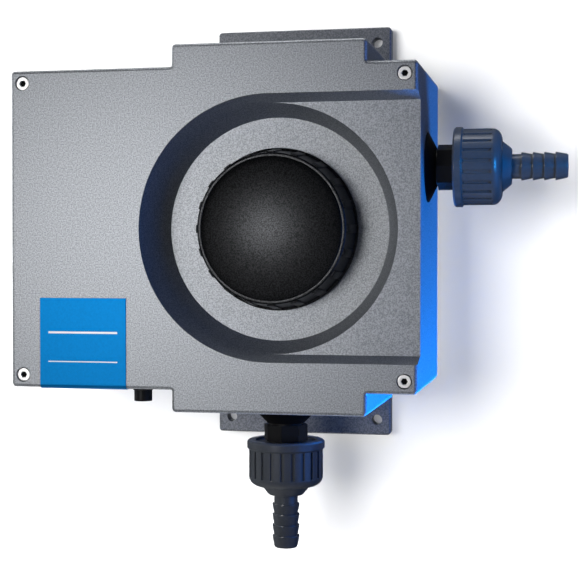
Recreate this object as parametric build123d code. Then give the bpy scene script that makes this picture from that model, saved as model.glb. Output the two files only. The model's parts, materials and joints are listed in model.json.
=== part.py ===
"""Wall-mounted process turbidity meter for flowing water.

A moulded housing hangs on a narrow mounting plate. Water enters the measuring
cell from below through a hose union and leaves it at the side. The cell opens
to the front under a round screw lid, and a motor turns a wiper over its
windows. Millimetres, +Z up, the viewer stands on the -Y side. The origin is
the centre of the wall bolts, on the back of the mounting plate.
"""
from build123d import *
import math
import os

# Housing
DEPTH = 110.0
HOUSING_WIDTH = 220.0
HOUSING_HEIGHT = 170.5
HOUSING_RIGHT = 78.0
BLOCK_WIDTH = 104.0
BLOCK_HEIGHT = 194.2
WALL = 4.0
DRAFT = 0.8
CORNER_R = 2.2
INNER_CORNER_R = 1.0
NOTCH_R = 0.8
EDGE_R = 1.9

# Mounting plate and chassis
PLATE_HEIGHT = 240.0
PLATE_THICKNESS = 9.0
PLATE_EDGE_R = 1.0
BOLT_SPACING_X = 88.0
BOLT_SPACING_Z = 222.0
BOLT_HOLE_R = 3.0
CHASSIS_THICKNESS = 5.0
CHASSIS_INSET = 3.0
CHASSIS_CORNER_R = 4.0
SEAL_THICKNESS = 2.0
SEAL_WIDTH = 1.5
LEDGE_WIDTH = 5.0

# Recess round the lid
SLOT_R = 70.0
SLOT_FLOOR_R = 66.5
SLOT_DEPTH = 13.1
WELL_FLOOR_R = 60.2
WELL_DEPTH = 27.7
COLLAR_HOLE_R = 38.0

# Measuring cell
CELL_R = 46.0
COLLAR_R = 37.0
CHAMBER_R = 32.0
CELL_FRONT_DEPTH = 32.4
CHAMBER_DEPTH = 62.0
CELL_BACK_DEPTH = 70.0
COLLAR_FRONT_DEPTH = 12.2
WINDOW_RING_R = 19.0
WINDOW_R = 6.0
WINDOW_COUNT = 3
SHAFT_R = 3.0
RUNNING_GAP = 0.05

# Lid
LID_FLANGE_R = 43.8
LID_FLANGE_HEIGHT = 1.6
LID_BASE_R = 42.4
LID_FACE_R = 40.0
LID_FRONT_DEPTH = 7.5
LID_ROOF = 3.2
LID_DOME_R = 37.9
LID_DOME = 3.0
LID_RIBS = 20
LID_RIB_HEIGHT = 0.8
LID_RIB_WIDTH = 4.2

# Hose unions
PORT_DEPTH = 48.0
OUTLET_Z = 33.6
OUTLET_REACH = 15.1
INLET_REACH = 19.3
PORT_HOLE_R = 19.0
PORT_BOSS_R = 14.0
PORT_FLANGE_R = 13.8
BOOT_R = 18.6
BOOT_GAP = 9.5
NECK_R = 9.6
OCTAGON_R = 12.3
OCTAGON_LENGTH = 8.7
STEM_R = 9.0
STEM_LENGTH = 15.0
PASSAGE_R = 6.0
TAIL_BORE_R = 5.0
UNION_THREAD_R = 16.5
UNION_THREAD_END = 14.0
NUT_FLANGE_R = 21.6
NUT_BODY_R = 20.6
NUT_LENGTH = 25.6
NUT_GROOVES = 22
GROOVE_R = 0.85
GROOVE_LENGTH = 15.4
HUB_R = 13.4
BARBS = 4
BARB_R = 7.5
BARB_ROOT_R = 6.5
BARB_PITCH = 5.95

# Fasteners
SCREW_INSET = 6.7
M4_R = 2.0
M4_HEAD_R = 3.5
M4_HEAD_HEIGHT = 4.0
COUNTERBORE_R = 4.0
COUNTERBORE_DEPTH = 4.6
COLUMN_R = 5.5
SCREW_GAP = 0.05

# Electronics and label
BOARD_SIZE = (72.0, 140.0, 1.6)
BOARD_CENTRE_X = -97.0
STANDOFF_HEIGHT = 24.0
SOCKET_X = -83.0
SOCKET_R = 5.65
LABEL_LEFT = -125.5
LABEL_WIDTH = 48.5
LABEL_HEIGHT = 48.4
LABEL_THICKNESS = 0.5
LABEL_FOLD = 4.0

# Derived places
FRONT_Y = -DEPTH
PLATE_Y = -PLATE_THICKNESS
CHASSIS_Y = PLATE_Y - CHASSIS_THICKNESS
LEDGE_Y = CHASSIS_Y - SEAL_THICKNESS
PORT_Y = FRONT_Y + PORT_DEPTH
HOUSING_LEFT = HOUSING_RIGHT - HOUSING_WIDTH
HOUSING_BOTTOM = -HOUSING_HEIGHT / 2
BLOCK_BOTTOM = -BLOCK_HEIGHT / 2
CELL_FRONT_Y = FRONT_Y + CELL_FRONT_DEPTH
CELL_BACK_Y = FRONT_Y + CELL_BACK_DEPTH
CHAMBER_FLOOR_Y = FRONT_Y + CHAMBER_DEPTH
COLLAR_Y = FRONT_Y + COLLAR_FRONT_DEPTH
LID_FRONT_Y = FRONT_Y + LID_FRONT_DEPTH
LID_BACK_Y = FRONT_Y + WELL_DEPTH - 0.4
OUTWARD = (Align.CENTER, Align.CENTER, Align.MIN)

SCREW_PLACES = [
    (x, z)
    for x in (HOUSING_LEFT + SCREW_INSET, HOUSING_RIGHT - SCREW_INSET)
    for z in (HOUSING_BOTTOM + SCREW_INSET, -HOUSING_BOTTOM - SCREW_INSET)
]
PILLAR_PLACES = [(x, z) for x in (-27.0, 27.0) for z in (-27.0, 27.0)]
PLATE_SCREW_PLACES = [(x, z) for x in (-40.0, 40.0) for z in (-72.0, 72.0)]
BOARD_SCREW_PLACES = [
    (BOARD_CENTRE_X + x, z) for x in (-32.0, 32.0) for z in (-66.0, 66.0)
]
WINDOW_PLACES = [
    (
        WINDOW_RING_R * math.cos(math.radians(90 + 360 / WINDOW_COUNT * i)),
        WINDOW_RING_R * math.sin(math.radians(90 + 360 / WINDOW_COUNT * i)),
    )
    for i in range(WINDOW_COUNT)
]


def facing_viewer(y):
    """Plane across the object at y; its normal points to the viewer."""
    return Plane((0, y, 0), x_dir=(1, 0, 0), z_dir=(0, -1, 0))


def facing_wall(y):
    """Plane across the object at y; its normal points to the wall."""
    return Plane((0, y, 0), x_dir=(1, 0, 0), z_dir=(0, 1, 0))


def rod(radius, back_y, front_y, x=0.0, z=0.0):
    """Round rod along Y between two depths."""
    return facing_viewer(back_y) * Pos(x, z) * Cylinder(radius, back_y - front_y, align=OUTWARD)


def ring(outer_r, inner_r, back_y, front_y, x=0.0, z=0.0):
    """Round ring along Y between two depths."""
    hole = rod(inner_r, back_y + 1, front_y - 1, x, z)
    return rod(outer_r, back_y, front_y, x, z) - hole


def slab(sketch, back_y, front_y):
    """Front-view sketch made solid between two depths."""
    return extrude(facing_viewer(back_y) * sketch, amount=back_y - front_y)


def turned(profile):
    """Body of revolution about +Z from (radius, height) points."""
    face = make_face(Polyline(*profile, close=True))
    return revolve(Plane.XZ * face, Axis.Z)


def outline_boxes(inset, corner_r):
    """The two rounded rectangles of the front view: the wide box and the cell's block."""
    grow = -2 * inset
    box = RectangleRounded(HOUSING_WIDTH + grow, HOUSING_HEIGHT + grow, corner_r)
    block = RectangleRounded(BLOCK_WIDTH + grow, BLOCK_HEIGHT + grow, corner_r)
    return Pos((HOUSING_LEFT + HOUSING_RIGHT) / 2, 0) * box, block


def chassis_outline(inset, corner_r=CHASSIS_CORNER_R):
    """Outline of what lies inside the cover's rim, at a distance from its front edge."""
    box, block = outline_boxes(inset, corner_r)
    return box + block


def drafted_block(inset, corner_r, front_y, back_y):
    """The outline drawn to the back with the draft of the mould."""
    plane = facing_wall(front_y)
    box, block = [
        extrude(plane * shape, amount=back_y - front_y, taper=-DRAFT)
        for shape in outline_boxes(inset, corner_r)
    ]
    return box + block


def notch_edges(body):
    """The four inner corners where the block stands out of the wide box."""
    return [
        edge for edge in body.edges().filter_by(lambda e: e.length > DEPTH / 2)
        if abs(abs(edge.center().X) - BLOCK_WIDTH / 2) < 2
        and abs(abs(edge.center().Z) - HOUSING_HEIGHT / 2) < 2
    ]


def lid_recess(grow=0.0):
    """Recess round the lid: a slot open to the right, then a round well."""
    run = HOUSING_RIGHT + 20.0
    radius = SLOT_R + grow
    slot_shape = Circle(radius) + Pos(run / 2, 0) * Rectangle(run, 2 * radius)
    slot_taper = math.degrees(math.atan2(SLOT_R - SLOT_FLOOR_R, SLOT_DEPTH))
    front = FRONT_Y
    slot = extrude(facing_wall(front) * slot_shape, amount=SLOT_DEPTH + grow, taper=slot_taper)
    well_height = WELL_DEPTH - SLOT_DEPTH
    well = Cone(SLOT_FLOOR_R + grow, WELL_FLOOR_R + grow, well_height, align=OUTWARD)
    return slot + facing_wall(front + SLOT_DEPTH + grow) * well


def port_plane(name, offset=0.0):
    """Plane on the outer wall at a hose port; its normal points outwards."""
    if name == "outlet":
        return Plane((HOUSING_RIGHT + offset, PORT_Y, OUTLET_Z), x_dir=(0, 1, 0), z_dir=(1, 0, 0))
    return Plane((0, PORT_Y, BLOCK_BOTTOM - offset), x_dir=(1, 0, 0), z_dir=(0, 0, -1))


def cover_block():
    """Outer form of the cover: drafted, with rounded notches and a rounded front edge."""
    body = drafted_block(0.0, CORNER_R, FRONT_Y, PLATE_Y)
    body = fillet(notch_edges(body), NOTCH_R)
    front_edges = body.faces().sort_by(Axis.Y)[0].edges()
    return fillet(front_edges, EDGE_R)


def front_cover():
    """Moulded cover: drafted box, stepped recess, screw columns and port holes."""
    cavity = drafted_block(WALL, INNER_CORNER_R, FRONT_Y + WALL, PLATE_Y + 1)
    cavity -= lid_recess(WALL)
    for x, z in SCREW_PLACES:
        cavity -= rod(COLUMN_R, LEDGE_Y, FRONT_Y, x, z)
    ledge = chassis_outline(WALL / 2) - chassis_outline(WALL / 2 + LEDGE_WIDTH)
    cavity -= slab(ledge, LEDGE_Y, LEDGE_Y - 2.5)
    body = cover_block() - cavity - lid_recess()
    body -= rod(COLLAR_HOLE_R, FRONT_Y + WELL_DEPTH + 10, FRONT_Y)
    for x, z in SCREW_PLACES:
        body -= rod(M4_R + 0.25, PLATE_Y, FRONT_Y, x, z)
        body -= rod(COUNTERBORE_R, FRONT_Y + COUNTERBORE_DEPTH, FRONT_Y - 1, x, z)
    for name in ("outlet", "inlet"):
        body -= port_plane(name, -WALL - 2) * Cylinder(PORT_HOLE_R, WALL + 6, align=OUTWARD)
    socket_hole = Cylinder(SOCKET_R + 0.1, WALL + 6)
    body -= Pos(SOCKET_X, PORT_Y, HOUSING_BOTTOM + WALL / 2) * socket_hole
    return body


def chassis():
    """Back plate inside the cover, drilled for every screw that meets it."""
    body = slab(chassis_outline(CHASSIS_INSET), PLATE_Y, CHASSIS_Y)
    holes = [(p, M4_R) for p in SCREW_PLACES + PILLAR_PLACES]
    holes += [(p, 2.5) for p in PLATE_SCREW_PLACES]
    holes += [(p, 1.5) for p in BOARD_SCREW_PLACES]
    for (x, z), radius in holes:
        body -= rod(radius + SCREW_GAP, PLATE_Y + 1, CHASSIS_Y - 1, x, z)
    for x, z in PILLAR_PLACES:
        body -= rod(4.2, PLATE_Y + 1, PLATE_Y - 2.6, x, z)
    return body


def housing_seal():
    """Flat rubber frame between the cover's ledge and the chassis."""
    inner_r = CHASSIS_CORNER_R - SEAL_WIDTH
    inner = chassis_outline(CHASSIS_INSET + SEAL_WIDTH, inner_r)
    return slab(chassis_outline(CHASSIS_INSET) - inner, CHASSIS_Y, LEDGE_Y)


def cap_screw(radius, head_r, head_height, length, head_y, x, z):
    """Socket-head screw; head_y is the front of the head."""
    seat_y = head_y + head_height
    body = rod(head_r, seat_y, head_y, x, z) + rod(radius, seat_y + length, seat_y, x, z)
    socket = RegularPolygon(head_r * 0.5, 6)
    return body - slab(Pos(x, z) * socket, head_y + head_height * 0.55, head_y - 1)


def cover_screws():
    """Four long screws through the cover's columns into the chassis."""
    head_y = FRONT_Y + 0.6
    length = PLATE_Y - 1 - (head_y + M4_HEAD_HEIGHT)
    return [
        cap_screw(M4_R, M4_HEAD_R, M4_HEAD_HEIGHT, length, head_y, x, z)
        for x, z in SCREW_PLACES
    ]


def mounting_plate():
    """Plate that is bolted to the wall and carries the chassis."""
    shape = RectangleRounded(BLOCK_WIDTH, PLATE_HEIGHT, 2.0)
    body = slab(shape, 0, PLATE_Y)
    body = fillet(body.faces().sort_by(Axis.Y)[0].edges(), PLATE_EDGE_R)
    for x in (-BOLT_SPACING_X / 2, BOLT_SPACING_X / 2):
        for z in (-BOLT_SPACING_Z / 2, BOLT_SPACING_Z / 2):
            body -= rod(BOLT_HOLE_R, 1, PLATE_Y - 1, x, z)
    for x, z in PLATE_SCREW_PLACES:
        body -= rod(2.5 + SCREW_GAP, 1, PLATE_Y - 1, x, z)
        body -= rod(4.7, 1, -5.2, x, z)
    return body


def plate_screws():
    """Four screws from the back of the mounting plate into the chassis."""
    screws = []
    for x, z in PLATE_SCREW_PLACES:
        head = rod(4.5, -0.4, -5.2, x, z)
        socket = slab(Pos(x, z) * RegularPolygon(2.2, 6), 0, -3.0)
        screws.append(head + rod(2.5, -5.2, CHASSIS_Y + 0.5, x, z) - socket)
    return screws


def flow_cell():
    """Measuring cell: chamber with a threaded collar and two port bosses."""
    body = rod(CELL_R, CELL_BACK_Y, CELL_FRONT_Y) + rod(COLLAR_R, CELL_FRONT_Y, COLLAR_Y)
    outlet = port_plane("outlet", -WALL - 2)
    inlet = port_plane("inlet", -WALL - 2)
    outlet_run = HOUSING_RIGHT - WALL - 2
    inlet_run = -BLOCK_BOTTOM - WALL - 2
    inwards = (Align.CENTER, Align.CENTER, Align.MAX)
    body += outlet * Cylinder(PORT_BOSS_R, outlet_run, align=inwards)
    body += inlet * Cylinder(PORT_BOSS_R, inlet_run - CHAMBER_R, align=inwards)
    body -= rod(CHAMBER_R, CHAMBER_FLOOR_Y, COLLAR_Y - 1)
    body -= outlet * Cylinder(PASSAGE_R, outlet_run, align=inwards)
    body -= inlet * Cylinder(PASSAGE_R, inlet_run, align=inwards)
    drop = Cylinder(PASSAGE_R, OUTLET_Z, align=OUTWARD)
    body -= Pos(0, PORT_Y, 0) * drop
    for plane in (outlet, inlet):
        body -= plane * Cylinder(STEM_R + SCREW_GAP, STEM_LENGTH + 0.5, align=inwards)
    body -= rod(SHAFT_R + RUNNING_GAP, CELL_BACK_Y + 1, CHAMBER_FLOOR_Y - 1)
    body -= rod(6.0, CELL_BACK_Y + 1, CELL_BACK_Y - 3.0)
    for x, z in WINDOW_PLACES:
        body -= rod(WINDOW_R, CHAMBER_FLOOR_Y + 3.0, CHAMBER_FLOOR_Y - 1, x, z)
        body -= rod(4.0, CELL_BACK_Y + 1, CHAMBER_FLOOR_Y, x, z)
    for x, z in PILLAR_PLACES:
        body -= rod(M4_R + SCREW_GAP, CELL_BACK_Y + 1, CELL_BACK_Y - 9, x, z)
    return body


def cell_pillars():
    """Four tubes that hold the cell off the chassis."""
    return [ring(5.0, M4_R + SCREW_GAP, CHASSIS_Y, CELL_BACK_Y, x, z) for x, z in PILLAR_PLACES]


def cell_screws():
    """Four screws from behind the chassis through the pillars into the cell."""
    screws = []
    for x, z in PILLAR_PLACES:
        head = rod(4.0, PLATE_Y - 0.2, PLATE_Y - 2.6, x, z)
        screws.append(head + rod(M4_R, PLATE_Y - 2.6, CELL_BACK_Y - 8, x, z))
    return screws


def cell_windows():
    """Flat glass windows in the chamber floor."""
    return [
        rod(WINDOW_R, CHAMBER_FLOOR_Y + 3.0, CHAMBER_FLOOR_Y, x, z) for x, z in WINDOW_PLACES
    ]


def optic_barrel(x, z):
    """Stepped metal can that sits behind a window."""
    stem = rod(3.9, CELL_BACK_Y, CHAMBER_FLOOR_Y + 3.0, x, z)
    return stem + rod(4.6, CELL_BACK_Y + 9.0, CELL_BACK_Y, x, z)


def shaft_seal():
    """Lip seal round the wiper shaft in the back of the cell."""
    return ring(6.0, SHAFT_R + RUNNING_GAP, CELL_BACK_Y, CELL_BACK_Y - 3.0)


def wiper_shaft():
    """Shaft from the motor through the cell floor to the wiper arm."""
    return rod(SHAFT_R, CELL_BACK_Y + 4.0, CHAMBER_FLOOR_Y - 6.5)


def wiper_arm():
    """Hub with a tapered arm that reaches over the windows."""
    back = CHAMBER_FLOOR_Y - 2.5
    front = back - 3.5
    hub = rod(6.5, back + 2.0, front)
    arm_shape = make_face(Polyline((0, 4.5), (27, 2.5), (27, -2.5), (0, -4.5), close=True))
    arm = slab(arm_shape, back, front)
    return hub + arm - rod(SHAFT_R, back + 3, front - 1)


def wiper_blade():
    """Soft lip under the arm, as long as the ring of windows needs."""
    lip = make_face(Polyline((7.5, 1.5), (26, 1.5), (26, -1.5), (7.5, -1.5), close=True))
    return slab(lip, CHAMBER_FLOOR_Y - 0.3, CHAMBER_FLOOR_Y - 2.5)


def wiper_motor():
    """Flat gear motor behind the cell, with a bearing nose."""
    body = rod(12.5, CHASSIS_Y, CELL_BACK_Y + 7.5) + rod(4.0, CELL_BACK_Y + 7.5, CELL_BACK_Y + 5.8)
    return body - rod(1.5 + RUNNING_GAP, CHASSIS_Y - 6, CELL_BACK_Y)


def motor_shaft():
    """Motor output shaft that drives the wiper shaft end to end."""
    return rod(1.5, CHASSIS_Y - 6.5, CELL_BACK_Y + 4.0)


def motor_bracket():
    """Strip on two feet that carries the motor on the cell."""
    strip_back = CELL_BACK_Y + 7.5
    strip_front = CELL_BACK_Y + 5.8
    body = slab(RectangleRounded(62, 9, 3.0) + Circle(6.5), strip_back, strip_front)
    body -= rod(4.0, strip_back + 1, strip_front - 1)
    for x in (-26.5, 26.5):
        body += rod(3.5, strip_front, CELL_BACK_Y, x, 0)
    return body


def cell_lid():
    """Hollow screw lid: flange, skirt with grip ribs, flat rim and domed face."""
    height = LID_BACK_Y - LID_FRONT_Y
    roof = height - LID_ROOF
    chamfer = 0.5
    inner_r = COLLAR_R + 0.4
    side = Polyline(
        (inner_r, 0), (LID_FLANGE_R, 0), (LID_FLANGE_R, LID_FLANGE_HEIGHT),
        (LID_BASE_R, LID_FLANGE_HEIGHT), (LID_FACE_R, height - chamfer),
        (LID_FACE_R - chamfer, height), (LID_DOME_R, height),
    )
    ball_r = (LID_DOME_R**2 + LID_DOME**2) / (2 * LID_DOME)
    rim_angle = math.degrees(math.acos(LID_DOME_R / ball_r))
    dome = CenterArc((0, height + LID_DOME - ball_r), ball_r, rim_angle, 90 - rim_angle)
    inside = Polyline((0, height + LID_DOME), (0, roof), (inner_r, roof), (inner_r, 0))
    shell = revolve(Plane.XZ * make_face(side + dome + inside), Axis.Z)
    run = height - chamfer - LID_FLANGE_HEIGHT
    lean = math.degrees(math.atan2(LID_BASE_R - LID_FACE_R, run))
    rib = RectangleRounded(2 * LID_RIB_HEIGHT + 1.2, LID_RIB_WIDTH, 0.9)
    rib_solid = extrude(rib, amount=run - 0.4)
    for i in range(LID_RIBS):
        turn = Rot(0, 0, 360 / LID_RIBS * i)
        shell += turn * Pos(LID_BASE_R - 0.6, 0, LID_FLANGE_HEIGHT - 0.2) * Rot(0, -lean, 0) * rib_solid
    return facing_viewer(LID_BACK_Y) * shell


def lid_seal():
    """Flat rubber ring held in the roof of the lid."""
    seat_y = LID_FRONT_Y + LID_ROOF
    return ring(COLLAR_R - 0.6, CHAMBER_R + 0.6, COLLAR_Y - 0.3, seat_y + 0.05)


def port_adaptor(reach):
    """Fixed half of a hose union: stem, flange, neck, octagon and threaded end."""
    foot = -WALL - 2
    thread_end = reach + UNION_THREAD_END
    body = turned([
        (TAIL_BORE_R, foot - STEM_LENGTH), (STEM_R, foot - STEM_LENGTH), (STEM_R, foot),
        (PORT_FLANGE_R, foot), (PORT_FLANGE_R, -1.0), (NECK_R, -1.0), (NECK_R, reach + 1.0),
        (UNION_THREAD_R, reach + 1.0), (UNION_THREAD_R, thread_end), (TAIL_BORE_R, thread_end),
    ])
    octagon = RegularPolygon(OCTAGON_R, 8) - Circle(NECK_R - 0.5)
    body += extrude(Pos(0, 0, reach - OCTAGON_LENGTH) * octagon, amount=OCTAGON_LENGTH)
    groove = turned([
        (10.8, thread_end - 0.8), (13.4, thread_end - 0.8), (13.4, thread_end + 1), (10.8, thread_end + 1),
    ])
    return body - groove


def union_seal(reach):
    """Rubber ring in the face of the fixed union half."""
    seat = reach + UNION_THREAD_END - 0.7
    return turned([(10.9, seat), (13.3, seat), (13.3, seat + 0.8), (10.9, seat + 0.8)])


def port_grommet(reach):
    """Rubber boot: a disc in the port hole that tapers to the adaptor's neck."""
    end = reach - BOOT_GAP
    neck_r = NECK_R + RUNNING_GAP
    flange_r = PORT_FLANGE_R + RUNNING_GAP
    return turned([
        (flange_r, -5.0), (PORT_HOLE_R, -5.0), (PORT_HOLE_R, 0.6), (BOOT_R, 1.4),
        (neck_r + 0.8, end), (neck_r, end), (neck_r, -0.95), (flange_r, -0.95),
    ])


def hose_tail(reach):
    """Loose half of a hose union: flange, hub, cone and barbs."""
    start = reach + 14.4
    dome_end = reach + NUT_LENGTH
    neck = dome_end + 5.0
    first = neck + 5.0
    points = [
        (TAIL_BORE_R, start), (15.9, start), (15.9, start + 4.2), (HUB_R, start + 4.2),
        (HUB_R, dome_end + 0.4), (10.1, neck - 0.6), (9.5, neck), (6.6, neck), (6.6, first),
    ]
    for i in range(BARBS):
        foot = first + i * BARB_PITCH
        points += [(BARB_R, foot), (BARB_R, foot + 0.7), (BARB_ROOT_R, foot + BARB_PITCH)]
    end = first + BARBS * BARB_PITCH
    points += [(6.1, end + 0.8), (TAIL_BORE_R + 0.6, end + 0.8), (TAIL_BORE_R, end + 0.2)]
    return turned(points)


def union_nut(reach):
    """Union nut: round rim at the open end, grooved body and rounded far end."""
    end = reach + NUT_LENGTH
    inner_r = UNION_THREAD_R + 0.4
    shoulder = reach + 19.0
    bend = reach + 20.5
    tip_r = NUT_BODY_R - 6.0
    outside = Polyline(
        (inner_r, reach), (NUT_FLANGE_R - 0.9, reach), (NUT_FLANGE_R, reach + 1.0),
        (NUT_FLANGE_R, reach + 4.4), (NUT_BODY_R, reach + 4.9), (NUT_BODY_R, bend),
    )
    dome = ThreePointArc((NUT_BODY_R, bend), (NUT_BODY_R - 2.0, reach + 23.9), (tip_r, end))
    inside = Polyline(
        (tip_r, end), (HUB_R + RUNNING_GAP, end), (HUB_R + RUNNING_GAP, shoulder),
        (inner_r, shoulder), (inner_r, reach),
    )
    body = revolve(Plane.XZ * make_face(outside + dome + inside), Axis.Z)
    groove = Cylinder(GROOVE_R, GROOVE_LENGTH, align=OUTWARD)
    groove += Pos(0, 0, GROOVE_LENGTH) * Sphere(GROOVE_R)
    for i in range(NUT_GROOVES):
        turn = Rot(0, 0, 360 / NUT_GROOVES * i)
        body -= turn * Pos(NUT_BODY_R + 0.1, 0, reach + 5.2) * groove
    return body


def circuit_board():
    """Bare board with rounded corners on four standoffs."""
    width, height, thickness = BOARD_SIZE
    back = CHASSIS_Y - STANDOFF_HEIGHT
    shape = Pos(BOARD_CENTRE_X, 0) * RectangleRounded(width, height, 3.0)
    body = slab(shape, back, back - thickness)
    for x, z in BOARD_SCREW_PLACES:
        body -= rod(1.5 + SCREW_GAP, back + 1, back - thickness - 1, x, z)
    return body


def board_standoffs():
    """Four hexagonal standoffs under the board."""
    standoffs = []
    for x, z in BOARD_SCREW_PLACES:
        tube = Pos(x, z) * (RegularPolygon(3.6, 6) - Circle(1.5 + SCREW_GAP))
        standoffs.append(slab(tube, CHASSIS_Y, CHASSIS_Y - STANDOFF_HEIGHT))
    return standoffs


def board_screws():
    """Four small screws that hold the board on its standoffs."""
    head_y = CHASSIS_Y - STANDOFF_HEIGHT - BOARD_SIZE[2] - 1.8
    return [cap_screw(1.5, 2.8, 1.8, 10.0, head_y, x, z) for x, z in BOARD_SCREW_PLACES]


def terminal_block():
    """Row of eight wire terminals along the lower edge of the board."""
    back = CHASSIS_Y - STANDOFF_HEIGHT - BOARD_SIZE[2]
    base = Pos(BOARD_CENTRE_X, -52) * Rectangle(44, 9)
    body = slab(base, back, back - 10)
    for i in range(8):
        x = BOARD_CENTRE_X - 19.25 + 5.5 * i
        body -= rod(1.9, back - 5, back - 11, x, -52)
    return body


def cable_socket():
    """Round cable socket through the bottom wall; its shell steps down once."""
    top = HOUSING_BOTTOM + WALL
    shell = turned([
        (4.2, top + 6), (SOCKET_R, top + 6), (SOCKET_R, top), (SOCKET_R, HOUSING_BOTTOM - 5.2),
        (5.1, HOUSING_BOTTOM - 5.2), (5.1, HOUSING_BOTTOM - 11.4), (4.2, HOUSING_BOTTOM - 11.4),
    ])
    return Pos(SOCKET_X, PORT_Y, 0) * shell


def socket_insert():
    """Plastic core of the socket with five contact holes."""
    bottom = HOUSING_BOTTOM - 10.9
    core = Pos(0, 0, bottom) * Cylinder(4.2, 22, align=OUTWARD)
    places = PolarLocations(2.4, 4)
    for spot in places:
        core -= Pos(0, 0, bottom - 1) * spot * Cylinder(0.6, 6, align=OUTWARD)
    core -= Pos(0, 0, bottom - 1) * Cylinder(0.6, 6, align=OUTWARD)
    return Pos(SOCKET_X, PORT_Y, 0) * core


def socket_nut():
    """Hexagonal nut that holds the socket inside the cover."""
    shape = RegularPolygon(9.0, 6) - Circle(SOCKET_R)
    return Pos(SOCKET_X, PORT_Y, HOUSING_BOTTOM + WALL) * extrude(shape, amount=4.0)


def label_plate():
    """Thin plate on the front that folds round the lower edge of the cover."""
    depth = EDGE_R + LABEL_FOLD + LABEL_THICKNESS
    height = LABEL_HEIGHT + LABEL_THICKNESS
    left_side = Plane((LABEL_LEFT, 0, 0), x_dir=(0, 1, 0), z_dir=(1, 0, 0))
    low_corner = Pos(FRONT_Y - LABEL_THICKNESS, HOUSING_BOTTOM - LABEL_THICKNESS)
    profile = low_corner * Rectangle(depth, height, align=(Align.MIN, Align.MIN))
    front_edge = profile.vertices().sort_by(Axis.X)[:2].sort_by(Axis.Y)[0]
    profile = fillet(front_edge, EDGE_R + LABEL_THICKNESS)
    return extrude(left_side * profile, amount=LABEL_WIDTH) - cover_block()


def build_nodes():
    """Every sub-part by the name of its file."""
    nodes = {
        "front_cover": front_cover(),
        "chassis": chassis(),
        "housing_seal": housing_seal(),
        "cover_screws": cover_screws(),
        "mounting_plate": mounting_plate(),
        "plate_screws": plate_screws(),
        "flow_cell": flow_cell(),
        "cell_pillars": cell_pillars(),
        "cell_screws": cell_screws(),
        "cell_windows": cell_windows(),
        "light_source": optic_barrel(*WINDOW_PLACES[0]),
        "scatter_detectors": [optic_barrel(x, z) for x, z in WINDOW_PLACES[1:]],
        "shaft_seal": shaft_seal(),
        "wiper_shaft": wiper_shaft(),
        "wiper_arm": wiper_arm(),
        "wiper_blade": wiper_blade(),
        "wiper_motor": wiper_motor(),
        "motor_shaft": motor_shaft(),
        "motor_bracket": motor_bracket(),
        "cell_lid": cell_lid(),
        "lid_seal": lid_seal(),
        "circuit_board": circuit_board(),
        "board_standoffs": board_standoffs(),
        "board_screws": board_screws(),
        "terminal_block": terminal_block(),
        "cable_socket": cable_socket(),
        "socket_insert": socket_insert(),
        "socket_nut": socket_nut(),
        "label_plate": label_plate(),
    }
    for name, reach in (("outlet", OUTLET_REACH), ("inlet", INLET_REACH)):
        plane = port_plane(name)
        nodes[name + "_adaptor"] = plane * port_adaptor(reach)
        nodes[name + "_union_seal"] = plane * union_seal(reach)
        nodes[name + "_grommet"] = plane * port_grommet(reach)
        nodes[name + "_nut"] = plane * union_nut(reach)
        nodes[name + "_tail"] = plane * hose_tail(reach)
    return nodes


for node_name, shape in build_nodes().items():
    if isinstance(shape, list):
        shape = Compound(children=shape)
    export_step(shape, os.path.join("parts", node_name + ".step"))
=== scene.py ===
import json
import math

import bpy
from mathutils import Matrix, Vector

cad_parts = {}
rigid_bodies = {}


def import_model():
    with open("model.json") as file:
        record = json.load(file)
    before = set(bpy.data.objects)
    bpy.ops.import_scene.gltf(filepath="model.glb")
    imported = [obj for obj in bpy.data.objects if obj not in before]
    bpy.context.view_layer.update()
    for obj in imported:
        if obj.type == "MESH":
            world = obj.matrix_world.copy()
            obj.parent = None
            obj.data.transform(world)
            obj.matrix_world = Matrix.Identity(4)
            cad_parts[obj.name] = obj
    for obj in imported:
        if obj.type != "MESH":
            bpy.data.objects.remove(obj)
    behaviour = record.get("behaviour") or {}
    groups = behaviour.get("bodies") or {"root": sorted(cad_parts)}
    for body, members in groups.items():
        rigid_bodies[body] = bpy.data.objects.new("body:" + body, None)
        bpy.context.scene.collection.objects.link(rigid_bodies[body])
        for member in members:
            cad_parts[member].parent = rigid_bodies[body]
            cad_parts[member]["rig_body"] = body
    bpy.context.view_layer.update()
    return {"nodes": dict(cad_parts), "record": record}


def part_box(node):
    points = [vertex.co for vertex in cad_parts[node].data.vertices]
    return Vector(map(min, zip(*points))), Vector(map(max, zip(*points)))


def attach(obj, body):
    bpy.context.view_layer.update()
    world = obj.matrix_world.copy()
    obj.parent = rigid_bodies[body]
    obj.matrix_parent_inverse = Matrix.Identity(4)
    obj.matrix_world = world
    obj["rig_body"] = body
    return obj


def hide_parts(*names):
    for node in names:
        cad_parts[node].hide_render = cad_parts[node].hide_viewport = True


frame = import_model()

# Sizes in metres
MM = 0.001

SEAM_GAP = 0.002 * MM

# Lid
LID_HEIGHT = 19.8 * MM
LID_FLANGE_R = 43.8 * MM
LID_FLANGE_HEIGHT = 1.6 * MM
LID_BASE_R = 42.4 * MM
LID_FACE_R = 40.0 * MM
LID_BORE_R = 37.4 * MM
LID_ROOF = 16.6 * MM
LID_DOME_R = 37.9 * MM
LID_DOME = 3.0 * MM
LID_RIBS = 20
LID_SIDES_PER_RIB = 12
RIB_SIDES = 4
RIB_HEIGHT = 0.8 * MM
LID_EDGE = 0.5 * MM
RIB_TOP_GAP = 0.4 * MM
DOME_LIP = 0.15 * MM
DOME_LIP_DEPTH = 0.25 * MM
DOME_RINGS = 14

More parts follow.
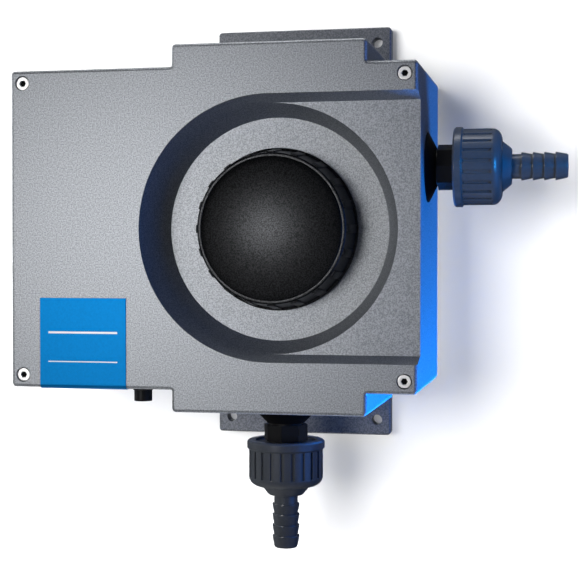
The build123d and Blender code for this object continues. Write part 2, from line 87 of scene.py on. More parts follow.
# Hose unions
NUT_FLANGE_R = 21.6 * MM
NUT_BODY_R = 20.6 * MM
NUT_BORE_R = 16.9 * MM
NUT_LENGTH = 25.6 * MM
NUT_SHOULDER = 19.0 * MM
NUT_BEND = 20.4 * MM
NUT_BEND_STEPS = 7
NUT_TIP_R = NUT_BODY_R - 6.0 * MM
GROOVE_START = 5.4 * MM
NUT_GROOVES = 22
NUT_SIDES_PER_GROOVE = 10
GROOVE_SIDES = 3
GROOVE_DEPTH = 1.15 * MM
HUB_R = 13.4 * MM
TAIL_START = 14.4 * MM
TAIL_FLANGE_R = 15.9 * MM
TAIL_NECK_R = 6.6 * MM
TAIL_BORE_R = 5.0 * MM
BARBS = 4
BARB_R = 7.5 * MM
BARB_ROOT_R = 6.5 * MM
BARB_PITCH = 5.95 * MM
THREAD_R = 16.5 * MM
THREAD_PITCH = 2.309 * MM
OCTAGON_R = 12.3 * MM
OCTAGON_LENGTH = 8.7 * MM
TAIL_SIDES = 96

# Cover screws and label
SCREW_HEAD_R = 3.5 * MM
SOCKET_R = 1.72 * MM
SOCKET_DEPTH = 2.2 * MM
# Thickness of the dark plug that paints shade into each screw socket
SOCKET_SHADE_PLUG = 1.3 * MM
LABEL_RULES = ((1, 0.62, 1.1 * MM), (2, 0.3, 0.6 * MM))
RULE_LENGTH = 0.8
RULE_THICKNESS = 0.08 * MM

# Camera, fitted to edges in the photograph with the lens and the depth of the meter chosen beforehand
CAMERA_PLACE = (144.92 * MM, -770.17 * MM, -15.67 * MM)
CAMERA_TURN = (88.8263, -0.0033, 11.4330)
CAMERA_LENS = 80.97
CAMERA_SENSOR = 36.0


def deselect_all():
    """Leave edit mode and select nothing."""
    if bpy.context.object and bpy.context.object.mode != "OBJECT":
        bpy.ops.object.mode_set(mode="OBJECT")
    bpy.ops.object.select_all(action="DESELECT")


def activate(obj):
    """Select one object alone."""
    deselect_all()
    obj.select_set(True)
    bpy.context.view_layer.objects.active = obj


def edit(obj, select="SELECT"):
    """Open an object for editing with all or nothing of it selected."""
    activate(obj)
    bpy.ops.object.mode_set(mode="EDIT")
    bpy.ops.mesh.select_all(action=select)


def pick_faces(obj, wanted):
    """Select the faces for which wanted(centre, normal) is true."""
    edit(obj, "DESELECT")
    bpy.ops.mesh.select_mode(type="FACE")
    bpy.ops.object.mode_set(mode="OBJECT")
    for face in obj.data.polygons:
        face.select = wanted(face.center, face.normal)
    bpy.ops.object.mode_set(mode="EDIT")


def close_seams(obj):
    """Merge what meets, and turn all faces outwards."""
    edit(obj)
    bpy.ops.mesh.remove_doubles(threshold=SEAM_GAP)
    bpy.ops.mesh.normals_make_consistent(inside=False)
    bpy.ops.object.mode_set(mode="OBJECT")


def turned_piece(name, profile, sides, last="open"):
    """Round piece about +Z, extruded from point to point of (radius, height), open or to a point."""
    deselect_all()
    radius, height = profile[0]
    bpy.ops.mesh.primitive_circle_add(vertices=sides, radius=radius, fill_type="NOTHING")
    obj = bpy.context.object
    obj.name = name
    edit(obj)
    bpy.ops.mesh.select_mode(type="EDGE")
    bpy.ops.mesh.select_all(action="SELECT")
    bpy.ops.transform.translate(value=(0, 0, height))
    for next_radius, next_height in profile[1:]:
        bpy.ops.mesh.extrude_region_move(
            TRANSFORM_OT_translate={"value": (0, 0, next_height - height)}
        )
        grow = next_radius / radius
        bpy.ops.transform.resize(value=(grow, grow, 1), center_override=(0, 0, next_height))
        radius, height = next_radius, next_height
    if last == "point":
        bpy.ops.mesh.merge(type="CENTER")
    close_seams(obj)
    return obj


def soften(obj, width, angle=40.0, segments=2):
    """Round the edges that are sharper than the angle."""
    activate(obj)
    bevel = obj.modifiers.new("soft edges", "BEVEL")
    bevel.width = width
    bevel.segments = segments
    bevel.limit_method = "ANGLE"
    bevel.angle_limit = math.radians(angle)
    bevel.use_clamp_overlap = True
    bpy.ops.object.modifier_apply(modifier=bevel.name)


def shade(obj, angle=35.0):
    """Smooth shading that keeps sharp edges."""
    activate(obj)
    bpy.ops.object.shade_smooth_by_angle(angle=math.radians(angle))


def even_out(obj):
    """Let the large faces set the shading, so that they look flat."""
    activate(obj)
    weigh = obj.modifiers.new("flat faces", "WEIGHTED_NORMAL")
    weigh.keep_sharp = True
    weigh.weight = 50
    bpy.ops.object.modifier_apply(modifier=weigh.name)


def set_place(obj, place, turn=(0, 0, 0)):
    """Turn and move a piece, and keep the result in its mesh."""
    activate(obj)
    obj.rotation_euler = [math.radians(a) for a in turn]
    obj.location = place
    bpy.ops.object.transform_apply(location=True, rotation=True, scale=True)


def copy_piece(obj, name):
    """Copy of a piece with a mesh of its own."""
    activate(obj)
    bpy.ops.object.duplicate()
    twin = bpy.context.object
    twin.name = name
    return twin


def join_pieces(pieces, name):
    """Several meshes as one piece."""
    activate(pieces[0])
    for piece in pieces[1:]:
        piece.select_set(True)
    bpy.ops.object.join()
    pieces[0].name = name
    return pieces[0]


def finish_piece(obj, body, slot_name, material, *nodes):
    """Attach the piece to its body, give it its material, and hide the CAD nodes it stands for."""
    obj.data.materials.clear()
    obj.data.materials.append(material)
    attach(obj, body)
    if nodes:
        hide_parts(*nodes)
    return obj


def finished_copy(node, body, slot_name, material, bevel=0.0, angle=35.0):
    """Merged and softened copy of a CAD node, which it stands for."""
    obj = copy_piece(frame["nodes"][node], node + "_shape")
    obj.parent = None
    obj.matrix_world = Matrix.Identity(4)
    for key in list(obj.keys()):
        del obj[key]
    edit(obj)
    if obj.data.has_custom_normals:
        bpy.ops.mesh.customdata_custom_splitnormals_clear()
    bpy.ops.mesh.remove_doubles(threshold=SEAM_GAP)
    bpy.ops.mesh.dissolve_limited(angle_limit=math.radians(0.5))
    bpy.ops.object.mode_set(mode="OBJECT")
    if bevel:
        soften(obj, bevel, angle)
    shade(obj, angle)
    even_out(obj)
    return finish_piece(obj, body, slot_name, material, node)


# Materials
# Housing, plate, lid and label are plastic and paint made partly metallic, for the sheen in the
# photograph under the lamps below; in another light they look more like metal
def base_material(name, colour, roughness, metallic=0.0, specular=0.5):
    """Material of one plain shader."""
    material = bpy.data.materials.new(name)
    material.use_nodes = True
    shader = material.node_tree.nodes["Principled BSDF"]
    shader.inputs["Base Color"].default_value = (*colour, 1)
    shader.inputs["Roughness"].default_value = roughness
    shader.inputs["Metallic"].default_value = metallic
    shader.inputs["Specular IOR Level"].default_value = specular
    return material


def object_noise(material, scale, detail=2.0, roughness=0.6):
    """Noise on Object coordinates."""
    nodes, links = material.node_tree.nodes, material.node_tree.links
    place = nodes.new("ShaderNodeTexCoord")
    noise = nodes.new("ShaderNodeTexNoise")
    noise.inputs["Scale"].default_value = scale
    noise.inputs["Detail"].default_value = detail
    noise.inputs["Roughness"].default_value = roughness
    links.new(place.outputs["Object"], noise.inputs["Vector"])
    return noise


def add_speckle(material, dark, light, scale, low=0.3, high=0.7):
    """Colour that wavers between two tones as fine grain does."""
    nodes, links = material.node_tree.nodes, material.node_tree.links
    noise = object_noise(material, scale)
    ramp = nodes.new("ShaderNodeValToRGB")
    ramp.color_ramp.elements[0].position = low
    ramp.color_ramp.elements[0].color = (*dark, 1)
    ramp.color_ramp.elements[1].position = high
    ramp.color_ramp.elements[1].color = (*light, 1)
    links.new(noise.outputs["Fac"], ramp.inputs["Fac"])
    links.new(ramp.outputs["Color"], nodes["Principled BSDF"].inputs["Base Color"])


def add_grain(material, scale, strength, distance, detail=3.0):
    """Fine relief of a moulded or blasted surface."""
    nodes, links = material.node_tree.nodes, material.node_tree.links
    noise = object_noise(material, scale, detail)
    bump = nodes.new("ShaderNodeBump")
    bump.inputs["Strength"].default_value = strength
    bump.inputs["Distance"].default_value = distance
    links.new(noise.outputs["Fac"], bump.inputs["Height"])
    links.new(bump.outputs["Normal"], nodes["Principled BSDF"].inputs["Normal"])


def add_sheen_change(material, scale, low, high):
    """Roughness that changes slowly over the surface."""
    nodes, links = material.node_tree.nodes, material.node_tree.links
    noise = object_noise(material, scale, 3.0)
    span = nodes.new("ShaderNodeMapRange")
    span.inputs["From Min"].default_value = 0.3
    span.inputs["From Max"].default_value = 0.7
    span.inputs["To Min"].default_value = low
    span.inputs["To Max"].default_value = high
    links.new(noise.outputs["Fac"], span.inputs["Value"])
    links.new(span.outputs["Result"], nodes["Principled BSDF"].inputs["Roughness"])


def housing_plastic():
    """Light grey moulded plastic with a coarse grain and a metallic sheen."""
    material = base_material("housing_plastic", (0.42, 0.44, 0.47), 0.48, metallic=0.86)
    add_speckle(material, (0.32, 0.338, 0.365), (0.56, 0.585, 0.62), 1400.0, 0.38, 0.62)
    add_grain(material, 1500.0, 0.35, 0.2 * MM)
    return material


def plate_paint():
    """Mid grey textured paint on the mounting plate."""
    material = base_material("plate_paint", (0.26, 0.275, 0.3), 0.48, metallic=0.75)
    add_speckle(material, (0.2, 0.21, 0.235), (0.33, 0.345, 0.37), 1150.0, 0.4, 0.6)
    add_grain(material, 1250.0, 0.4, 0.2 * MM)
    return material


def lid_plastic():
    """Black lid plastic with a fine satin grain."""
    material = base_material("lid_plastic", (0.026, 0.027, 0.029), 0.31, metallic=0.85)
    add_speckle(material, (0.012, 0.0125, 0.0135), (0.042, 0.0435, 0.047), 1500.0, 0.38, 0.62)
    add_grain(material, 1400.0, 0.3, 0.12 * MM)
    return material


def pipe_plastic():
    """Dark grey smooth pressure-pipe plastic."""
    material = base_material("pipe_plastic", (0.07, 0.081, 0.097), 0.28, specular=0.6)
    add_speckle(material, (0.064, 0.074, 0.089), (0.076, 0.087, 0.105), 600.0)
    add_grain(material, 420.0, 0.12, 0.1 * MM)
    return material


def black_plastic():
    """Smooth black engineering plastic."""
    material = base_material("black_plastic", (0.008, 0.008, 0.0085), 0.36, specular=0.3)
    add_sheen_change(material, 260.0, 0.32, 0.44)
    return material


def cell_plastic():
    """Black machined plastic of the measuring cell."""
    material = base_material("cell_plastic", (0.022, 0.022, 0.024), 0.45)
    add_sheen_change(material, 300.0, 0.4, 0.52)
    return material


def dull_rubber():
    """Matt black rubber."""
    material = base_material("dull_rubber", (0.01, 0.01, 0.01), 0.85, specular=0.12)
    add_grain(material, 1500.0, 0.2, 0.1 * MM)
    return material


def blank_steel():
    """Satin stainless steel of the screws."""
    material = base_material("blank_steel", (0.95, 0.95, 0.95), 0.5, metallic=1.0)
    add_sheen_change(material, 500.0, 0.46, 0.54)
    return material


def machined_aluminium():
    """Satin aluminium of the chassis and the brackets."""
    material = base_material("machined_aluminium", (0.72, 0.73, 0.74), 0.38, metallic=1.0)
    add_grain(material, 700.0, 0.12, 0.05 * MM)
    add_sheen_change(material, 350.0, 0.32, 0.45)
    return material


def motor_steel():
    """Plain grey metal of the motor and the optical units."""
    material = base_material("motor_steel", (0.5, 0.5, 0.51), 0.35, metallic=1.0)
    add_sheen_change(material, 400.0, 0.3, 0.42)
    return material


def window_glass():
    """Clear optical glass."""
    material = base_material("window_glass", (0.93, 0.97, 0.98), 0.02)
    shader = material.node_tree.nodes["Principled BSDF"]
    shader.inputs["Transmission Weight"].default_value = 1.0
    shader.inputs["IOR"].default_value = 1.5
    return material


def wiper_plastic():
    """White plastic of the wiper arm."""
    material = base_material("wiper_plastic", (0.72, 0.72, 0.7), 0.42)
    add_speckle(material, (0.7, 0.7, 0.68), (0.76, 0.76, 0.74), 700.0)
    return material


def board_mask():
    """Green solder mask."""
    material = base_material("board_mask", (0.02, 0.2, 0.08), 0.3)
    add_speckle(material, (0.016, 0.17, 0.07), (0.026, 0.22, 0.09), 350.0)
    return material


def terminal_plastic():
    """Green plastic of the terminal block."""
    material = base_material("terminal_plastic", (0.06, 0.3, 0.11), 0.4)
    add_sheen_change(material, 300.0, 0.35, 0.48)
    return material


def label_blue():
    """Blue of the bare label."""
    material = base_material("label_blue", (0.0, 0.235, 0.63), 0.48, metallic=0.85)
    add_speckle(material, (0.0, 0.225, 0.6), (0.0, 0.25, 0.66), 900.0)
    add_grain(material, 1800.0, 0.08, 0.05 * MM)
    return material


def label_white():
    """White print on the label."""
    material = base_material("label_white", (0.86, 0.87, 0.88), 0.48, metallic=0.8)
    add_grain(material, 1800.0, 0.08, 0.05 * MM)
    return material


PAINTS = {
    "label_white": label_white(),
    "housing_plastic": housing_plastic(),
    "plate_paint": plate_paint(),
    "chassis_metal": machined_aluminium(),
    "rubber": dull_rubber(),
    "steel": blank_steel(),
    "cell_plastic": cell_plastic(),
    "lid_plastic": lid_plastic(),
    "pipe_plastic": pipe_plastic(),
    "black_plastic": black_plastic(),
    "window_glass": window_glass(),
    "optic_metal": motor_steel(),
    "wiper_plastic": wiper_plastic(),
    "wiper_rubber": dull_rubber(),
    "motor_metal": motor_steel(),
    "board": board_mask(),
    "terminal_plastic": terminal_plastic(),
    "contact_plastic": black_plastic(),
    "label_blue": label_blue(),
}
NODE_SLOT = {part["node"]: part["material_slot"] for part in frame["record"]["subparts"]}
NODE_BODY = {name: obj["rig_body"] for name, obj in frame["nodes"].items()}


def smooth_node(node, bevel=0.0, angle=35.0):
    """Softened copy of a CAD node in the paint of its slot."""
    slot_name = NODE_SLOT[node]
    return finished_copy(node, NODE_BODY[node], slot_name, PAINTS[slot_name], bevel, angle)


# Pieces shaped in Blender
def screw_lid():
    """Ribbed screw lid with a domed face and a rounded rim."""
    sides = LID_RIBS * LID_SIDES_PER_RIB
    foot, rib_end = LID_FLANGE_HEIGHT, LID_HEIGHT - LID_EDGE - RIB_TOP_GAP
    slope = (LID_BASE_R - LID_FACE_R) / (LID_HEIGHT - LID_EDGE - foot)
    profile = [
        (LID_BORE_R, 0), (LID_FLANGE_R, 0), (LID_FLANGE_R, foot), (LID_BASE_R, foot),
        (LID_BASE_R - slope * (rib_end - foot), rib_end), (LID_FACE_R, LID_HEIGHT - LID_EDGE),
        (LID_FACE_R - LID_EDGE, LID_HEIGHT), (LID_DOME_R + DOME_LIP, LID_HEIGHT),
        (LID_DOME_R, LID_HEIGHT - DOME_LIP_DEPTH), (LID_DOME_R - DOME_LIP, LID_HEIGHT),
    ]
    for i in range(1, DOME_RINGS):
        share = 1 - i / DOME_RINGS
        profile.append((LID_DOME_R * share, LID_HEIGHT + LID_DOME * (1 - share * share)))
    lid = turned_piece("lid_shape", profile, sides, last="point")
    roof = turned_piece("lid_inside", [(LID_BORE_R, 0), (LID_BORE_R, LID_ROOF)], sides)
    edit(roof)
    bpy.ops.mesh.select_mode(type="EDGE")
    bpy.ops.object.mode_set(mode="OBJECT")
    for edge in roof.data.edges:
        ends = [roof.data.vertices[v].co.z for v in edge.vertices]
        edge.select = min(ends) > LID_ROOF - 0.1 * MM
    for vertex in roof.data.vertices:
        vertex.select = vertex.co.z > LID_ROOF - 0.1 * MM
    bpy.ops.object.mode_set(mode="EDIT")
    bpy.ops.mesh.edge_face_add()
    bpy.ops.object.mode_set(mode="OBJECT")
    lid = join_pieces([lid, roof], "lid_shape")
    close_seams(lid)

    step = 2 * math.pi / sides
    pitch = 2 * math.pi / LID_RIBS

    def on_rib(centre, normal):
        from_rib = (math.atan2(centre.y, centre.x) + pitch / 2) % pitch - pitch / 2
        on_skirt = foot < centre.z < rib_end and centre.xy.length > LID_FACE_R
        return on_skirt and abs(from_rib) < RIB_SIDES / 2 * step

    pick_faces(lid, on_rib)
    bpy.ops.mesh.extrude_region_shrink_fatten(
        TRANSFORM_OT_shrink_fatten={"value": RIB_HEIGHT}
    )
    bpy.ops.object.mode_set(mode="OBJECT")
    soften(lid, 0.25 * MM, 40.0)
    shade(lid)
    set_place(lid, (0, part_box("cell_lid")[1].y, 0), (90, 0, 0))
    finish_piece(lid, "lid", "lid_plastic", PAINTS["lid_plastic"], "cell_lid")


def nut_piece(name):
    """Union nut about +Z: rim, grooved body and rounded far end."""
    sides = NUT_GROOVES * NUT_SIDES_PER_GROOVE
    profile = [
        (NUT_BORE_R, NUT_SHOULDER), (NUT_BORE_R, 0), (NUT_FLANGE_R - 0.9 * MM, 0),
        (NUT_FLANGE_R, 1.0 * MM), (NUT_FLANGE_R, 4.4 * MM), (NUT_BODY_R, 4.9 * MM),
        (NUT_BODY_R, GROOVE_START), (NUT_BODY_R, NUT_BEND),
    ]
    for i in range(1, NUT_BEND_STEPS + 1):
        angle = math.pi / 2 * i / NUT_BEND_STEPS
        radius = NUT_TIP_R + (NUT_BODY_R - NUT_TIP_R) * math.cos(angle)
        profile.append((radius, NUT_BEND + (NUT_LENGTH - NUT_BEND) * math.sin(angle)))
    profile += [(HUB_R + 0.05 * MM, NUT_LENGTH), (HUB_R + 0.05 * MM, NUT_SHOULDER), profile[0]]
    nut = turned_piece(name, profile, sides)
    step = 2 * math.pi / sides
    pitch = 2 * math.pi / NUT_GROOVES

    def on_groove(centre, normal):
        from_groove = math.atan2(centre.y, centre.x) % pitch
        on_body = GROOVE_START < centre.z < NUT_BEND and centre.xy.length > NUT_BODY_R - 0.2 * MM
        return on_body and from_groove < GROOVE_SIDES * step

    pick_faces(nut, on_groove)
    bpy.ops.mesh.extrude_region_shrink_fatten(
        TRANSFORM_OT_shrink_fatten={"value": -GROOVE_DEPTH}
    )
    bpy.ops.object.mode_set(mode="OBJECT")
    soften(nut, 0.18 * MM, 30.0)
    shade(nut)
    even_out(nut)
    return nut


def tail_piece(name):
    """Hose tail about +Z: flange, hub, cone and barbs round the bore."""
    neck = NUT_LENGTH + 5.0 * MM
    first = neck + 5.0 * MM
    profile = [
        (TAIL_BORE_R, TAIL_START), (TAIL_FLANGE_R, TAIL_START),
        (TAIL_FLANGE_R, TAIL_START + 4.2 * MM), (HUB_R, TAIL_START + 4.2 * MM),
        (HUB_R, NUT_LENGTH + 0.4 * MM), (10.1 * MM, neck - 0.6 * MM), (9.5 * MM, neck),
        (TAIL_NECK_R, neck), (TAIL_NECK_R, first),
    ]
    for i in range(BARBS):
        foot = first + i * BARB_PITCH
        profile += [
            (BARB_R, foot), (BARB_R, foot + 0.7 * MM), (BARB_ROOT_R, foot + BARB_PITCH),
        ]
    end = first + BARBS * BARB_PITCH
    profile += [
        (6.1 * MM, end + 0.6 * MM), (5.7 * MM, end + 0.8 * MM),
        (TAIL_BORE_R + 0.2 * MM, end + 0.8 * MM), (TAIL_BORE_R, end + 0.2 * MM), profile[0],
    ]
    tail = turned_piece(name, profile, TAIL_SIDES)
    soften(tail, 0.12 * MM, 40.0)
    shade(tail)
    even_out(tail)
    return tail


def helix_thread(name, radius, depth, pitch, start, turns, steps=64):
    """Right-hand thread ridge about +Z, closed at both ends."""
    deselect_all()
    bpy.ops.mesh.primitive_circle_add(vertices=3, radius=1, fill_type="NGON")
    thread = bpy.context.object
    thread.name = name
    corners = [
        (radius - 0.1 * MM, 0, start), (radius + depth, 0, start + pitch * 0.45),
        (radius - 0.1 * MM, 0, start + pitch * 0.9),
    ]
    for vertex, corner in zip(thread.data.vertices, corners):
        vertex.co = corner
    activate(thread)
    screw = thread.modifiers.new("turns", "SCREW")
    screw.axis = "Z"
    screw.angle = 2 * math.pi * turns
    screw.screw_offset = pitch * turns
    screw.steps = round(steps * turns)
    screw.render_steps = screw.steps
    bpy.ops.object.modifier_apply(modifier=screw.name)
    close_seams(thread)
    shade(thread, 50.0)
    return thread


def octagon_piece(name):
    """Eight-sided spanner grip with broken edges, open in the middle."""
    deselect_all()
    bpy.ops.mesh.primitive_cylinder_add(
        vertices=8, radius=OCTAGON_R, depth=OCTAGON_LENGTH, location=(0, 0, -OCTAGON_LENGTH / 2)
    )
    grip = bpy.context.object
    grip.name = name
    bpy.ops.object.transform_apply(location=True, rotation=True, scale=True)
    soften(grip, 0.4 * MM, 30.0)
    shade(grip, 30.0)
    even_out(grip)
    return grip


def place_union(port, seat, turn):
    """Nut, tail, grip and thread of one hose union; the nut's open end is at the seat."""
    nut = nut_piece(port + "_nut_shape")
    set_place(nut, seat, turn)
    finish_piece(nut, port + "_union_nut", "pipe_plastic", PAINTS["pipe_plastic"], port + "_nut")
    tail = tail_piece(port + "_tail_shape")
    set_place(tail, seat, turn)
    finish_piece(tail, port + "_hose_tail", "pipe_plastic", PAINTS["pipe_plastic"], port + "_tail")
    grip = octagon_piece(port + "_grip")
    set_place(grip, seat, turn)
    finish_piece(grip, "housing", "black_plastic", PAINTS["black_plastic"])
    thread = helix_thread(
        port + "_thread", THREAD_R - 0.9 * MM, 0.9 * MM, THREAD_PITCH, 1.6 * MM, 4.6
    )
    set_place(thread, seat, turn)
    finish_piece(thread, "housing", "black_plastic", PAINTS["black_plastic"])


screw_lid()
low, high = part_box("outlet_nut")
place_union("outlet", (low.x, (low.y + high.y) / 2, (low.z + high.z) / 2), (0, 90, 0))
low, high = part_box("inlet_nut")
place_union("inlet", ((low.x + high.x) / 2, (low.y + high.y) / 2, high.z), (180, 0, 0))


def paint_socket_shade():
    """Painted shade: dark hexagonal plugs near the bottoms of the four cover-screw sockets, standing in
    for the shade inside them.
    """
    deselect_all()
    low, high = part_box("cover_screws")
    bottom = low.y + SOCKET_DEPTH
    bpy.ops.mesh.primitive_cylinder_add(
        vertices=6, radius=SOCKET_R, depth=SOCKET_SHADE_PLUG, location=(0, 0, 0)
    )
    first = bpy.context.object
    soften(first, 0.1 * MM, 30.0, 1)
    set_place(first, (0, 0, 0), (90, 90, 0))
    number = 0
    for x in (low.x + SCREW_HEAD_R, high.x - SCREW_HEAD_R):
        for z in (low.z + SCREW_HEAD_R, high.z - SCREW_HEAD_R):
            number += 1
            plug = copy_piece(first, "screw_socket_%d" % number)
            set_place(plug, (x, bottom - 0.6 * MM, z))
            # Painted shade: each plug takes the black rubber material so that the socket looks dark
            finish_piece(plug, NODE_BODY["cover_screws"], "rubber", PAINTS["rubber"])
    activate(first)
    bpy.ops.object.delete()


def label_rules():
    """Two thin plain rules on the bare label."""
    low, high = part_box("label_plate")
    width, middle = high.x - low.x, (low.x + high.x) / 2
    for number, share, height in LABEL_RULES:
        deselect_all()
        bpy.ops.mesh.primitive_cube_add(size=1, location=(0, 0, 0))
        rule = bpy.context.object
        rule.name = "label_rule_%d" % number
        rule.scale = (width * RULE_LENGTH, RULE_THICKNESS, height)
        place = (middle, low.y, low.z + (high.z - low.z) * share)
        set_place(rule, place)
        soften(rule, 0.015 * MM, 30.0, 1)
        finish_piece(rule, NODE_BODY["label_plate"], "label_blue", PAINTS["label_white"])


paint_socket_shade()
label_rules()

BEVELS = {
    "front_cover": 1.0, "mounting_plate": 0.3, "chassis": 0.3, "flow_cell": 0.3,
    "label_plate": 0.4, "cable_socket": 0.2, "outlet_grommet": 0.3, "inlet_grommet": 0.3,
    "cover_screws": 0.25,
}
SHAPED = {"cell_lid", "outlet_nut", "outlet_tail", "inlet_nut", "inlet_tail"}
for node in sorted(frame["nodes"]):
    if node not in SHAPED:
        smooth_node(node, BEVELS.get(node, 0.0) * MM)


# Stage
STAGE_DARK = 0.01
STAGE_TONE = 0.8
STAGE_MIRRORED = 0.2
NEAR_METER, FAR_FROM_METER = 0.3, 0.6
FLOOR_Z = -0.42
WALL_Y = 0.0015
WALL_SIZE, FLOOR_SIZE = 3.0, 8.0


def stage_material(name, shown, far_shown):
    """Surface that is pale to the camera and throws little light back at the meter."""
    material = bpy.data.materials.new(name)
    material.use_nodes = True
    nodes, links = material.node_tree.nodes, material.node_tree.links
    shader = nodes["Principled BSDF"]
    shader.inputs["Roughness"].default_value = 0.9
    shader.inputs["Specular IOR Level"].default_value = 0.0
    shader.inputs["Emission Color"].default_value = (1, 1, 1, 1)
    rays = nodes.new("ShaderNodeLightPath")
    mirrored = nodes.new("ShaderNodeMath")
    mirrored.operation = "MAXIMUM"
    links.new(rays.outputs["Is Glossy Ray"], mirrored.inputs[0])
    links.new(rays.outputs["Is Transmission Ray"], mirrored.inputs[1])
    seen = nodes.new("ShaderNodeMath")
    seen.operation = "MULTIPLY_ADD"
    seen.inputs[1].default_value = STAGE_MIRRORED
    links.new(mirrored.outputs["Value"], seen.inputs[0])
    grey = nodes.new("ShaderNodeMath")
    grey.operation = "MULTIPLY_ADD"
    grey.inputs[1].default_value = STAGE_TONE - STAGE_DARK
    grey.inputs[2].default_value = STAGE_DARK
    links.new(rays.outputs["Is Camera Ray"], grey.inputs[0])
    links.new(grey.outputs["Value"], shader.inputs["Base Color"])
    links.new(rays.outputs["Is Camera Ray"], seen.inputs[2])
    glow = nodes.new("ShaderNodeMath")
    glow.operation = "MULTIPLY"
    glow.inputs[1].default_value = shown
    if far_shown > shown:
        place = nodes.new("ShaderNodeTexCoord")
        reach = nodes.new("ShaderNodeVectorMath")
        reach.operation = "LENGTH"
        links.new(place.outputs["Object"], reach.inputs[0])
        fade = nodes.new("ShaderNodeMapRange")
        fade.inputs["From Min"].default_value = NEAR_METER
        fade.inputs["From Max"].default_value = FAR_FROM_METER
        fade.inputs["To Min"].default_value = shown
        fade.inputs["To Max"].default_value = far_shown
        links.new(reach.outputs["Value"], fade.inputs["Value"])
        links.new(fade.outputs["Result"], glow.inputs[1])
    links.new(seen.outputs["Value"], glow.inputs[0])
    links.new(glow.outputs["Value"], shader.inputs["Emission Strength"])
    return material


def see_through_from_behind(material):
    """Let a camera behind the surface, and all lamps, reach the meter."""
    nodes, links = material.node_tree.nodes, material.node_tree.links
    side = nodes.new("ShaderNodeNewGeometry")
    clear = nodes.new("ShaderNodeBsdfTransparent")
    rays = nodes.new("ShaderNodeLightPath")
    through = nodes.new("ShaderNodeMath")
    through.operation = "MAXIMUM"
    links.new(side.outputs["Backfacing"], through.inputs[0])
    links.new(rays.outputs["Is Shadow Ray"], through.inputs[1])
    mix = nodes.new("ShaderNodeMixShader")
    links.new(through.outputs["Value"], mix.inputs["Fac"])
    links.new(nodes["Principled BSDF"].outputs["BSDF"], mix.inputs[1])
    links.new(clear.outputs["BSDF"], mix.inputs[2])
    links.new(mix.outputs["Shader"], nodes["Material Output"].inputs["Surface"])



def stage_plane(name, size, place, turn, material):
    """Flat surface of the stage, clear from behind."""
    deselect_all()
    bpy.ops.mesh.primitive_plane_add(size=size, location=place, rotation=turn)
    plane = bpy.context.object
    plane.name = name
    bpy.ops.object.transform_apply(location=True, rotation=True, scale=True)
    see_through_from_behind(material)
    plane.data.materials.append(material)
    return plane


def area_lamp(name, place, aim, size, power, colour):
    """Soft square lamp that looks at a point."""
    light = bpy.data.lights.new(name, "AREA")
    light.shape = "SQUARE"
    light.size = size
    light.energy = power
    light.color = colour
    lamp = bpy.data.objects.new(name, light)
    bpy.context.scene.collection.objects.link(lamp)
    lamp.location = place
    toward = Vector(aim) - Vector(place)
    lamp.rotation_euler = toward.to_track_quat("-Z", "Y").to_euler()
    return lamp


def pale_world():
    """Even pale light from all round, white where the camera looks at it."""
    world = bpy.data.worlds.new("pale_world")
    bpy.context.scene.world = world
    world.use_nodes = True
    nodes, links = world.node_tree.nodes, world.node_tree.links
    light = nodes["Background"]
    light.inputs["Color"].default_value = (0.93, 0.96, 1.0, 1)
    light.inputs["Strength"].default_value = 0.03
    white = nodes.new("ShaderNodeBackground")
    white.inputs["Color"].default_value = (1, 1, 1, 1)
    white.inputs["Strength"].default_value = 1.0
    rays = nodes.new("ShaderNodeLightPath")
    mix = nodes.new("ShaderNodeMixShader")
    links.new(rays.outputs["Is Camera Ray"], mix.inputs["Fac"])
    links.new(light.outputs["Background"], mix.inputs[1])
    links.new(white.outputs["Background"], mix.inputs[2])
    links.new(mix.outputs["Shader"], nodes["World Output"].inputs["Surface"])


def light_only(lamp, objects, name):
    """Let a lamp light these objects alone."""
    group = bpy.data.collections.new(name)
    for obj in objects:
        group.objects.link(obj)
    lamp.light_linking.receiver_collection = group


meter = [obj for obj in bpy.data.objects if obj.type == "MESH"]
wall = stage_plane(
    "stage_wall", WALL_SIZE, (0, WALL_Y, FLOOR_Z + WALL_SIZE / 2), (math.pi / 2, 0, 0),
    stage_material("wall_white", 0.06, 0.85),
)
floor = stage_plane(
    "stage_floor", FLOOR_SIZE, (0, 0, FLOOR_Z), (0, 0, 0), stage_material("floor_pale", 0.9, 0.9)
)
pale_world()

# Which pieces the lamps light
lid_shape = bpy.data.objects["lid_shape"]
GLOSSY_WORDS = ("nut_shape", "tail_shape", "grip", "cover_screws")
glossy = [obj for obj in meter if any(word in obj.name for word in GLOSSY_WORDS)]
LIGHTS_UP = {
    "meter": meter,
    "stage": [wall, floor],
    "lid": [lid_shape],
    "glossy": glossy,
    "outlet": [obj for obj in glossy if obj.name.startswith("outlet")],
    "dull": [obj for obj in meter if obj != lid_shape and obj not in glossy],
    "cover": [obj for obj in meter if obj.name.startswith("front_cover")],
}
NARROW = math.radians(80)
WARM, WHITE = (1.0, 0.99, 0.98), (1.0, 1.0, 1.0)
MIDDLE, LID_FACE = (0, -0.05, 0), (0, -0.11, 0)

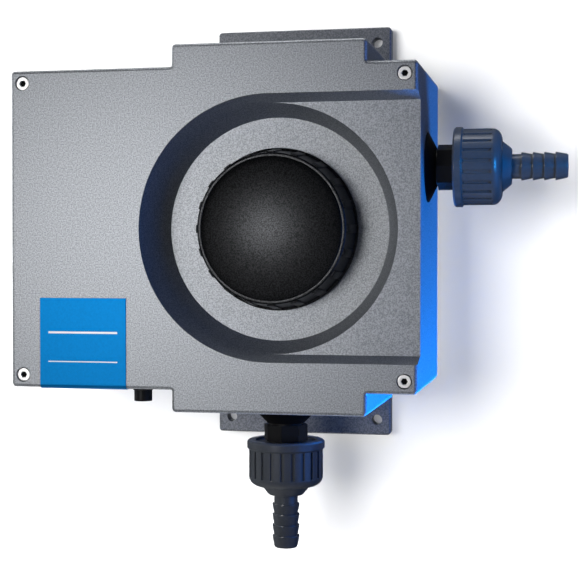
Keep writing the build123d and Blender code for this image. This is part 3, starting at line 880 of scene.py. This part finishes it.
# Lamps: name, place, aim, size, power, colour, what it lights
# They are tuned to the photograph's view; the blue ones colour the right wall strongly from the side
NARROW_LAMPS = (
    ("key_lamp", (-0.27, -0.77, 0.015), (-0.06, -0.11, 0.0), 0.26, 0.285, WARM, "dull"),
    ("lid_lamp", (-0.17, -0.8, 0.02), LID_FACE, 0.1, 0.15, WARM, "lid"),
    ("gloss_lamp", (-0.29, -0.77, 0.015), LID_FACE, 0.09, 0.42, WARM, "glossy"),
)
BROAD_LAMPS = (
    ("blue_lamp", (0.55, -0.2, -0.06), (0.12, -0.07, -0.02), 0.55, 1.2, (0.0, 0.22, 1.0), "meter"),
    ("blue_rim_lamp", (0.28, 0.13, -0.26), (0.14, -0.05, -0.03), 0.2, 7.0, (0.0, 0.24, 1.0), "cover"),
    ("blue_gloss_lamp", (0.52, -0.42, 0.06), (0.17, -0.06, 0.03), 0.16, 2.6, (0.02, 0.35, 1.0), "outlet"),
    ("left_lamp", (-0.9, 0.12, 0.2), MIDDLE, 0.6, 7.0, WHITE, "meter"),
    ("top_lamp", (-0.1, 0.15, 0.95), MIDDLE, 0.7, 8.0, WHITE, "meter"),
    ("low_lamp", (-0.2, 0.15, -0.9), MIDDLE, 0.6, 4.0, WHITE, "meter"),
    ("rear_left_lamp", (-0.55, 0.8, 0.3), MIDDLE, 0.6, 14.0, WHITE, "meter"),
    ("rear_right_lamp", (0.75, 0.6, 0.1), MIDDLE, 0.6, 2.5, WHITE, "meter"),
    ("backdrop_lamp", (-0.3, -0.85, 0.1), (0, 0, 0), 0.5, 14.0, WHITE, "stage"),
    ("backdrop_lamp_below", (0.35, -0.7, -0.4), (0, 0, 0), 0.5, 5.0, WHITE, "stage"),
)
for name, place, aim, size, power, colour, lights_up in NARROW_LAMPS + BROAD_LAMPS:
    lamp = area_lamp(name, place, aim, size, power, colour)
    light_only(lamp, LIGHTS_UP[lights_up], name + "_takes")
for name, *_ in NARROW_LAMPS:
    bpy.data.objects[name].data.spread = NARROW


# Camera
lens = bpy.data.cameras.new("photo_camera")
lens.lens = CAMERA_LENS
lens.sensor_width = CAMERA_SENSOR
lens.sensor_fit = "HORIZONTAL"
camera = bpy.data.objects.new("photo_camera", lens)
camera.location = CAMERA_PLACE
camera.rotation_euler = [math.radians(a) for a in CAMERA_TURN]
bpy.context.scene.collection.objects.link(camera)
bpy.context.scene.camera = camera
bpy.context.scene.view_settings.view_transform = "Standard"
